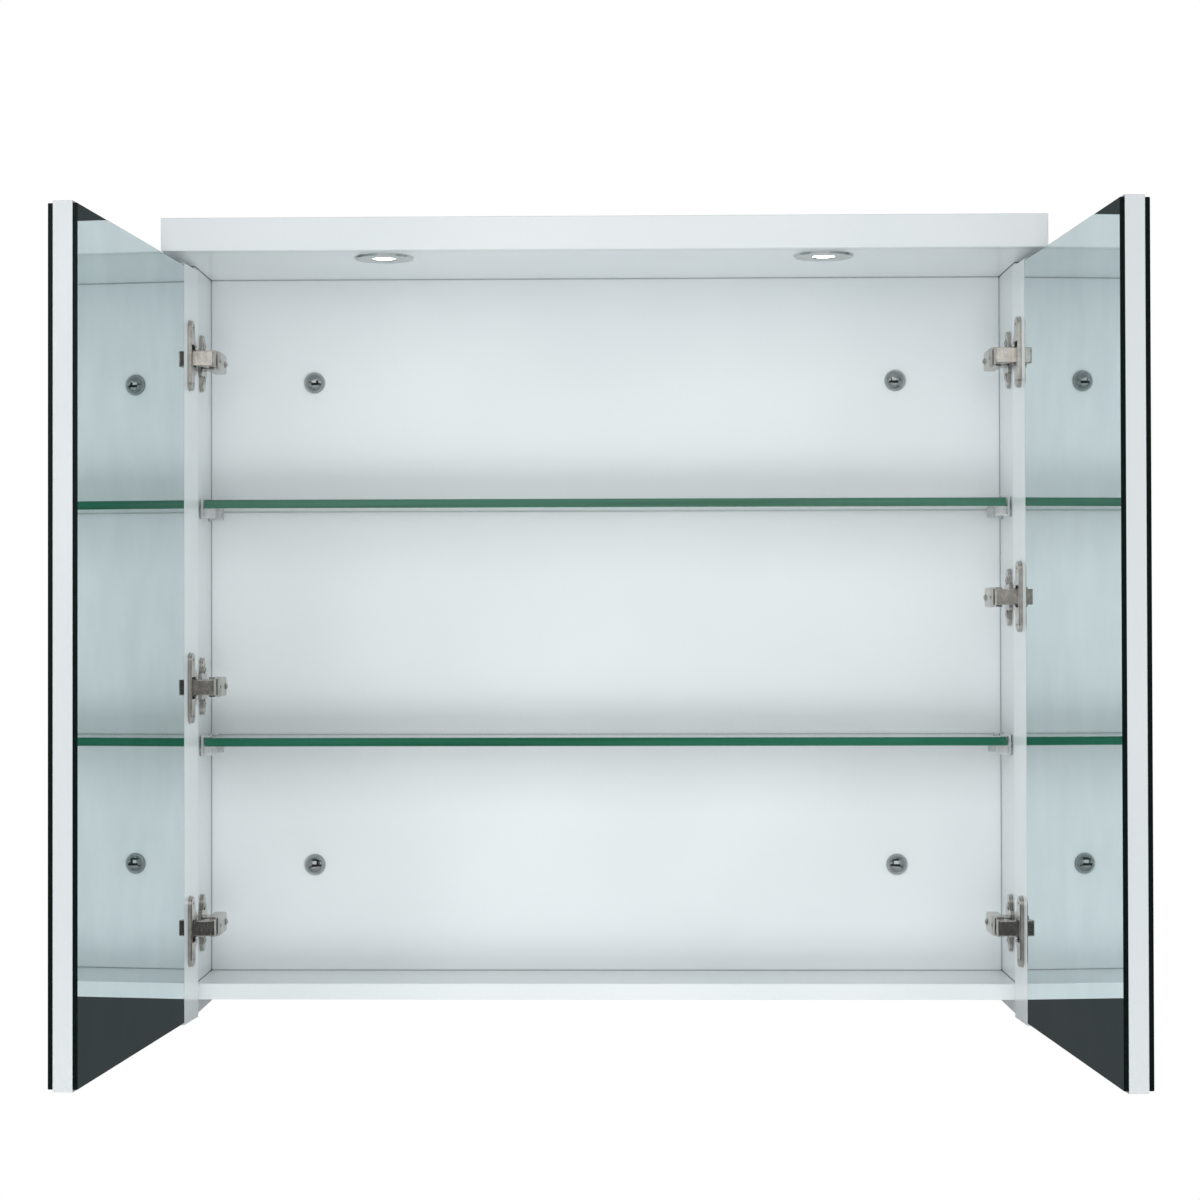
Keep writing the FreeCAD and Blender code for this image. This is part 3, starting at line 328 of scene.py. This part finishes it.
def flat_screw(name, head, sink, shank, length):
    """Screw with a countersunk head that has a cross recess. The top of its head is at the origin. Sizes are
    in mm; head and shank are radii."""
    rings = [(shank * 0.5, -length), (shank, -length + shank), (shank, -sink),
             (head - 0.1, -0.2), (head, -0.1), (head - 0.12, 0.0)]
    piece = ringed(name, rings, sides=32)
    cut_cross(piece, head * 1.15, head * 0.26, 0.0, sink * 0.7)
    finish_shape(piece)
    return piece


def solids_of(name):
    """Corner points of each separate solid of a CAD node."""
    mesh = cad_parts[name].data
    group = list(range(len(mesh.vertices)))

    def root(at):
        while group[at] != at:
            group[at] = group[group[at]]
            at = group[at]
        return at

    corners = {}
    for vertex in mesh.vertices:
        key = tuple(round(c / (0.01 * MM)) for c in vertex.co)
        group[root(vertex.index)] = root(corners.setdefault(key, vertex.index))
    for edge in mesh.edges:
        group[root(edge.vertices[0])] = root(edge.vertices[1])
    found = {}
    for vertex in mesh.vertices:
        found.setdefault(root(vertex.index), []).append(vertex.co.copy())
    return list(found.values())


def end_of(points, way):
    """Middle of the end of a solid that lies furthest along a direction."""
    furthest = max(point.dot(way) for point in points)
    first = way.orthogonal().normalized()
    spot = way * furthest
    for axis in (first, way.cross(first)):
        reach = [point.dot(axis) for point in points]
        spot += axis * (min(reach) + max(reach)) / 2
    return spot


def copies(template, name, places):
    """Copies of a template, each with its own mesh and put at (point, direction of its +Z)."""
    made = []
    for point, way in places:
        copy = bpy.data.objects.new(name, template.data.copy())
        copy.data.transform(Matrix.Translation(point) @ way.to_track_quat("Z", "Y").to_matrix().to_4x4())
        bpy.context.scene.collection.objects.link(copy)
        made.append(copy)
    bpy.data.objects.remove(template)
    return made


def joined(pieces, name):
    """Joins pieces into one."""
    bpy.ops.object.select_all(action="DESELECT")
    for piece in pieces:
        piece.select_set(True)
    bpy.context.view_layer.objects.active = pieces[0]
    bpy.ops.object.join()
    pieces[0].name = name
    return pieces[0]


def settle(piece, node, body, material):
    """Puts a finished piece in a CAD node's place."""
    piece.data.materials.clear()
    piece.data.materials.append(material)
    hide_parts(node)
    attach(piece, body)


# ---- settings ----
class CabinetLook(bpy.types.PropertyGroup):
    """Colours and strengths of the finishes."""
    lacquer_low: bpy.props.StringProperty(
        name="Lacquer, darker", description="Darker end of the lacquer's colour", default="#EEF3F5")
    lacquer_high: bpy.props.StringProperty(
        name="Lacquer, lighter", description="Lighter end of the lacquer's colour", default="#F4F8FA")
    # painted shade that greys the lacquer in creases where boards and parts meet: its colour and its reach
    crease_shade_colour: bpy.props.StringProperty(
        name="Painted crease shade", description="Colour of the painted shade in creases between boards and parts", default="#6E7876")
    crease_shade_reach_mm: bpy.props.FloatProperty(
        name="Painted crease shade reach", description="Reach of the painted crease shade, in mm", default=2.0, min=0.1)
    mirror_low: bpy.props.StringProperty(
        name="Mirror, darker", description="Darker end of the mirror's tint", default="#CBDADB")
    mirror_high: bpy.props.StringProperty(
        name="Mirror, lighter", description="Lighter end of the mirror's tint", default="#D5E3E4")
    mirror_edge_low: bpy.props.StringProperty(
        name="Mirror edge, darker", description="Darker end of the ground edge", default="#0B1513")
    mirror_edge_high: bpy.props.StringProperty(
        name="Mirror edge, lighter", description="Lighter end of the ground edge", default="#101D1A")
    glass_face: bpy.props.StringProperty(
        name="Shelf face", description="Tint through the face of a shelf", default="#F2FAF7")
    glass_edge_low: bpy.props.StringProperty(
        name="Shelf edge, darker", description="Darker end of a shelf's edge", default="#23694F")
    glass_edge_high: bpy.props.StringProperty(
        name="Shelf edge, lighter", description="Lighter end of a shelf's edge", default="#37856A")
    cap_radius_mm: bpy.props.FloatProperty(
        name="Cap radius", description="Radius of a chrome cap, in mm", default=10.0, min=1.0)
    cap_height_mm: bpy.props.FloatProperty(
        name="Cap height", description="Height of a chrome cap, in mm", default=8.5, min=1.0)
    lamp_glow: bpy.props.FloatProperty(
        name="Lamp glow", description="Emission strength of the lamp lenses", default=12.0, min=0.0)


class StageLook(bpy.types.PropertyGroup):
    """Camera and light."""
    camera_place: bpy.props.FloatVectorProperty(
        name="Camera", description="Where the camera stands", subtype="TRANSLATION", unit="LENGTH",
        precision=5, default=(0.00848, -2.51578, -0.00865))
    camera_turn: bpy.props.FloatProperty(
        name="Turn", description="Turn of the camera to its left", subtype="ANGLE",
        default=math.radians(1.146))
    camera_tilt: bpy.props.FloatProperty(
        name="Tilt", description="Upward tilt of the camera", subtype="ANGLE",
        default=math.radians(0.688))
    camera_roll: bpy.props.FloatProperty(
        name="Roll", description="Roll of the camera", subtype="ANGLE", default=math.radians(0.128))
    lens_mm: bpy.props.FloatProperty(
        name="Lens", description="Focal length on a 36 mm sensor", default=76.873)
    shift_x: bpy.props.FloatProperty(
        name="Shift X", description="Sideways shift of the lens", default=0.03158)
    shift_y: bpy.props.FloatProperty(
        name="Shift Y", description="Upward shift of the lens", default=0.00085)
    surroundings: bpy.props.FloatProperty(
        name="Surroundings", description="Brightness that mirrors see round the object",
        default=0.10, min=0.0)
    ambient: bpy.props.FloatProperty(
        name="Ambient", description="Even light from all round", default=0.27, min=0.0)
    inside_power: bpy.props.FloatProperty(
        name="Inside fill", description="Power of the soft light on the inside", default=0.8, min=0.0)
    rear_power: bpy.props.FloatProperty(
        name="Rear light", description="Power of the lights above and behind", default=40.0, min=0.0)
    key_power: bpy.props.FloatProperty(
        name="Key light", description="Power of the large front light", default=51.0, min=0.0)


# ---- operators ----
class FinishLacquer(bpy.types.Operator):
    """Sprays the boards white"""
    bl_idname = "cabinet.finish_lacquer"
    bl_label = "Lacquered boards"

    def execute(self, context):
        look = context.scene.cabinet_look
        boards = [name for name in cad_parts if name.endswith(("_panel", "_door_core"))]
        boards += ["canopy_" + part for part in ("base_board", "fascia", "end_strips", "rear_strip",
                                                 "top_cover")]
        paint(boards, white_lacquer(look))
        return {"FINISHED"}


class FinishGlass(bpy.types.Operator):
    """Silvers the mirrors and tints the shelf glass"""
    bl_idname = "cabinet.finish_glass"
    bl_label = "Mirrors and glass"

    def execute(self, context):
        look = context.scene.cabinet_look
        mirrors = [side + face for side in SIDES for face in ("_outer_mirror", "_inner_mirror")]
        paint(mirrors, silvered_glass(look))
        paint(["upper_glass_shelf", "lower_glass_shelf"], shelf_glass(look))
        return {"FINISHED"}


class FinishMetal(bpy.types.Operator):
    """Plates the hinges, pins, bezels and fittings"""
    bl_idname = "cabinet.finish_metal"
    bl_label = "Metal fittings"

    def execute(self, context):
        # pressed steel, nickel plated and tumbled: warm grey and satin, with faint upright lines
        nickel = brushed_metal("tumbled_nickel_plate", "#A9A49D", "#C6C2BC", roughness=0.25,
                               grain_mm=0.8, relief_mm=0.01, stretch=(1.0, 1.0, 6.0))
        hinge_parts = ("_hinge_arm", "_hinge_link", "_hinge_cups", "_hinge_plates")
        paint([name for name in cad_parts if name.endswith(hinge_parts)], nickel)
        # drawn steel wire: a little brighter than the plated pressings
        pin_steel = brushed_metal("bright_pin_steel", "#A6A39D", "#C8C5BF", roughness=0.22,
                                  grain_mm=0.5, relief_mm=0.01)
        paint(["hinge_arm_pins", "spot_bezel_screws", "left_cup_pins", "right_cup_pins"], pin_steel)
        # turned ring, nickel plated: a cool, soft shine
        satin = brushed_metal("satin_nickel_bezel", "#B9BBBA", "#CBCDCC", roughness=0.22,
                              grain_mm=0.5, relief_mm=0.004)
        paint(["left_spot_bezel", "right_spot_bezel"], satin)
        # zinc plated steel: bluish grey and duller
        zinc = brushed_metal("zinc_plate", "#A9ADB0", "#C2C6C9", roughness=0.3,
                             grain_mm=1.0, relief_mm=0.01)
        paint(["cam_locks", "cam_bolts", "canopy_screws", "shelf_support_pins"], zinc)
        # die-cast aluminium: pale grey, matt and grainy
        aluminium = brushed_metal("die_cast_aluminium", "#A5A8AB", "#BFC2C5", roughness=0.42,
                                  grain_mm=0.7, relief_mm=0.03)
        paint(["left_spot_heat_sink", "right_spot_heat_sink"], aluminium)
        return {"FINISHED"}


class BuildCaps(bpy.types.Operator):
    """Presses the chrome caps over the wall fixings"""
    bl_idname = "cabinet.build_caps"
    bl_label = "Chrome caps"

    def execute(self, context):
        look = context.scene.cabinet_look
        radius, height = look.cap_radius_mm, look.cap_height_mm
        foot = [(radius - 0.9, 0.0), (radius - 0.2, 0.0), (radius, 0.2)]
        cap = ringed("cap", foot + dome_rings(0.5, radius, height), sides=64)
        finish_shape(cap)
        front = Vector((0, -1, 0))
        places = [(end_of(points, -front), front) for points in solids_of("fixing_dome_caps")]
        caps = joined(copies(cap, "cap", places), "domed_chrome_caps")
        # bright chrome plate on pressed brass: smooth as a mirror, a little darker than nickel
        chrome = brushed_metal("polished_chrome_plate", "#97999A", "#ABADAD", roughness=0.05,
                               grain_mm=3.0, relief_mm=0.001)
        settle(caps, "fixing_dome_caps", "cabinet", chrome)
        return {"FINISHED"}


class BuildScrews(bpy.types.Operator):
    """Drives cross-headed screws into the hinges"""
    bl_idname = "cabinet.build_screws"
    bl_label = "Hinge screws"

    def execute(self, context):
        # steel screws, nickel plated: a warm, fairly bright grey with a fine grain
        steel = brushed_metal("nickel_plated_screw", "#A6A39D", "#C8C5BF", roughness=0.22,
                              grain_mm=0.5, relief_mm=0.01)
        self.drive_arm_screws(steel)
        self.drive_plate_screws(steel)
        for side in SIDES:
            self.drive_cup_screws(side, steel)
        return {"FINISHED"}

    def inward(self, points):
        """Direction from a side panel towards the middle of the cabinet."""
        return Vector((-1, 0, 0)) if points[0].x > 0 else Vector((1, 0, 0))

    def drive_arm_screws(self, steel):
        """Locking screw and adjuster of each hinge arm."""
        locks = []
        adjusters = []
        for points in solids_of("hinge_arm_screws"):
            way = self.inward(points)
            top = end_of(points, way)
            length = (top - end_of(points, -way)).length / MM
            if length > SHORT_SCREW_MM:
                locks.append((top - way * LOCK_HEAD_MM * MM, way))
            else:
                adjusters.append((top, way))
        lock = pan_screw("lock", head=3.3, rise=LOCK_HEAD_MM, shank=2.2, length=12.0)
        screws = copies(lock, "lock", locks)
        adjuster = flat_screw("adjuster", head=3.0, sink=1.4, shank=1.9, length=8.0)
        screws += copies(adjuster, "adjuster", adjusters)
        settle(joined(screws, "arm_cross_screws"), "hinge_arm_screws", "cabinet", steel)

    def drive_plate_screws(self, steel):
        """Two screws through each mounting plate."""
        places = []
        for points in solids_of("hinge_plate_screws"):
            way = self.inward(points)
            places.append((end_of(points, way) - way * PLATE_HEAD_MM * MM, way))
        screw = pan_screw("plate_screw", head=4.2, rise=PLATE_HEAD_MM, shank=2.5, length=13.0)
        screws = joined(copies(screw, "plate_screw", places), "plate_cross_screws")
        settle(screws, "hinge_plate_screws", "cabinet", steel)

    def drive_cup_screws(self, side, steel):
        """Two countersunk screws beside each hinge cup of a door, square to the open door's back."""
        angle = math.radians(DOOR_ANGLES[side])
        sign = 1 if side == "left" else -1
        way = Vector((sign * math.sin(angle), math.cos(angle), 0))
        name = side + "_cup_screws"
        places = [(end_of(points, way), way) for points in solids_of(name)]
        screw = flat_screw("cup_screw", head=3.4, sink=1.8, shank=1.75, length=15.0)
        screws = joined(copies(screw, "cup_screw", places), side + "_cup_cross_screws")
        settle(screws, name, side + "_door", steel)


class FinishSmallParts(bpy.types.Operator):
    """Finishes the plastic, rubber, lamp and timber pieces"""
    bl_idname = "cabinet.finish_small_parts"
    bl_label = "Small parts"

    def execute(self, context):
        look = context.scene.cabinet_look
        # clear polycarbonate: glassy, slightly milky where it is thick
        clear = moulded_plastic("clear_moulded_polycarbonate", "#F3F7F7", "#FCFDFD", roughness=0.12,
                                grain_mm=1.0, relief_mm=0.01, transmission=0.45)
        paint(["shelf_support_pads"], clear)
        # nylon: off-white with a waxy, dull shine
        nylon = moulded_plastic("white_moulded_nylon", "#DDDDDA", "#E8E8E5", roughness=0.4,
                                grain_mm=0.5, relief_mm=0.01)
        paint(["fixing_cap_bases"], nylon)
        # ABS: light grey with the fine matt grain of its tool
        abs_plastic = moulded_plastic("white_moulded_abs", "#D6D7D5", "#E2E3E1", roughness=0.5,
                                      grain_mm=0.6, relief_mm=0.02)
        paint(["led_driver"], abs_plastic)
        # PVC sheath: white, smooth and soft-looking
        sheath = moulded_plastic("white_lead_sheath", "#DADBD8", "#E6E6E3", roughness=0.45,
                                 grain_mm=0.8, relief_mm=0.01)
        paint(["spot_leads"], sheath)
        # white solder mask on a lamp board: bright, with a low sheen
        solder_mask = moulded_plastic("white_solder_mask", "#E4E5E0", "#F0F1EC", roughness=0.35,
                                      grain_mm=0.6, relief_mm=0.01)
        paint(["spot_led_boards"], solder_mask)
        # rubber: black and matt
        rubber = moulded_plastic("black_moulded_rubber", "#1A1A1A", "#2A2A2A", roughness=0.7,
                                 grain_mm=0.5, relief_mm=0.03)
        paint(["cable_grommet"], rubber)
        paint(["left_spot_lens", "right_spot_lens"], lamp_lens(look))
        paint(["carcass_dowels"], turned_beech())
        return {"FINISHED"}


class BuildStage(bpy.types.Operator):
    """Sets the floor, the light and the camera"""
    bl_idname = "cabinet.build_stage"
    bl_label = "Stage"

    def execute(self, context):
        look = context.scene.stage_look
        self.add_world(context.scene, look)
        self.add_floor()
        self.add_lights(look)
        self.add_camera(context.scene, look)
        context.scene.view_settings.view_transform = "Standard"
        return {"FINISHED"}

    def add_world(self, scene, look):
        """White round the object, soft light on it, and a dim room in its reflections."""
        world = bpy.data.worlds.new("studio")
        world.use_nodes = True
        tree = world.node_tree
        tree.nodes.clear()
        path = add_node(tree, "ShaderNodeLightPath")
        room = add_node(tree, "ShaderNodeBackground", inputs={
            "Color": linear("#C9D2D4"), "Strength": look.surroundings})
        soft = add_node(tree, "ShaderNodeBackground", inputs={
            "Color": linear("#F4FAFC"), "Strength": look.ambient})
        white = add_node(tree, "ShaderNodeBackground", inputs={"Color": (1, 1, 1, 1), "Strength": 1.0})
        lit = add_node(tree, "ShaderNodeMixShader", inputs={
            0: (path, "Is Diffuse Ray"), 1: (room, "Background"), 2: (soft, "Background")})
        seen = add_node(tree, "ShaderNodeMixShader", inputs={
            0: (path, "Is Camera Ray"), 2: (white, "Background")})
        tree.links.new(lit.outputs[0], seen.inputs[1])
        add_node(tree, "ShaderNodeOutputWorld", inputs={"Surface": (seen, "Shader")})
        scene.world = world

    def add_floor(self):
        """Pale floor well under the hanging cabinet."""
        bpy.ops.object.select_all(action="DESELECT")
        bpy.ops.mesh.primitive_plane_add(size=6.0, location=(0, 0, FLOOR_HEIGHT))
        floor = bpy.context.object
        floor.name = "studio_floor"
        bpy.ops.object.transform_apply(location=True, rotation=True, scale=True)
        floor.data.materials.append(moulded_plastic("pale_floor", "#F6F7F7", "#FBFBFB", roughness=0.7,
                                                    grain_mm=3.0, relief_mm=0.01))

    def add_lights(self, look):
        """Soft boxes all round, and a weak one between the open doors. Each row is a name, a place, the
        point that it faces, its width and height, and its power."""
        for name, place, target, size, power in (
                ("front_box", (-0.5, -3.3, 1.3), (0, 0, 0), (3.2, 2.4), look.key_power * 0.6),
                ("inside_fill", (0, -0.47, -0.12), (0, 0, -0.12), (0.6, 0.6), look.inside_power),
                ("low_box", (0, -2.6, -1.1), (0, 0, 0.1), (2.6, 1.0), look.key_power * 0.36),
                ("top_box", (0, 0.9, 3.0), (0, 0.9, 0), (2.0, 2.0), look.rear_power * 0.8),
                ("rear_box", (0, 3.2, 1.4), (0, 0, 0), (2.4, 2.0), look.rear_power),
                ("left_box", (-2.6, -1.6, 0.8), (0, 0, 0), (1.2, 1.8), look.key_power * 0.2),
                ("right_box", (2.6, -1.6, 0.8), (0, 0, 0), (1.2, 1.8), look.key_power * 0.2)):
            data = bpy.data.lights.new(name, "AREA")
            data.shape = "RECTANGLE"
            data.size, data.size_y = size
            data.energy = power
            lamp = bpy.data.objects.new(name, data)
            lamp.location = place
            lamp.visible_camera = False
            lamp.visible_glossy = name in ("front_box", "left_box", "right_box")
            aim = Vector(target) - Vector(place)
            lamp.rotation_euler = aim.to_track_quat("-Z", "Y").to_euler()
            bpy.context.scene.collection.objects.link(lamp)

    def add_camera(self, scene, look):
        """Camera in front of the cabinet, level with its middle."""
        data = bpy.data.cameras.new("camera")
        data.sensor_width = SENSOR_MM
        data.lens = look.lens_mm
        data.shift_x = look.shift_x
        data.shift_y = look.shift_y
        camera = bpy.data.objects.new("camera", data)
        facing = Matrix.Rotation(math.radians(90), 4, "X")
        turn = Matrix.Rotation(look.camera_turn, 4, "Z")
        tilt = Matrix.Rotation(look.camera_tilt, 4, "X")
        roll = Matrix.Rotation(look.camera_roll, 4, "Y")
        camera.matrix_world = Matrix.Translation(look.camera_place) @ turn @ tilt @ roll @ facing
        scene.collection.objects.link(camera)
        scene.camera = camera


class CabinetPanel(bpy.types.Panel):
    """Lists the settings and the steps"""
    bl_idname = "VIEW3D_PT_mirror_cabinet"
    bl_label = "Mirror Cabinet"
    bl_space_type = "VIEW_3D"
    bl_region_type = "UI"
    bl_category = "Mirror Cabinet"

    def draw(self, context):
        for group in (context.scene.cabinet_look, context.scene.stage_look):
            for name in group.__annotations__:
                self.layout.prop(group, name)
        for step in STEPS:
            self.layout.operator(step.bl_idname)


GROUPS = {"cabinet_look": CabinetLook, "stage_look": StageLook}
STEPS = (BuildStage, FinishLacquer, FinishGlass, FinishMetal, FinishSmallParts, BuildCaps, BuildScrews)


def register():
    for cls in (*GROUPS.values(), *STEPS, CabinetPanel):
        bpy.utils.register_class(cls)
    for name, cls in GROUPS.items():
        setattr(bpy.types.Scene, name, bpy.props.PointerProperty(type=cls))


def unregister():
    for name in GROUPS:
        delattr(bpy.types.Scene, name)
    for cls in (CabinetPanel, *reversed(STEPS), *reversed(tuple(GROUPS.values()))):
        bpy.utils.unregister_class(cls)


def main():
    register()
    for step in STEPS:
        group, action = step.bl_idname.split(".")
        getattr(getattr(bpy.ops, group), action)()


if __name__ == "__main__":
    main()
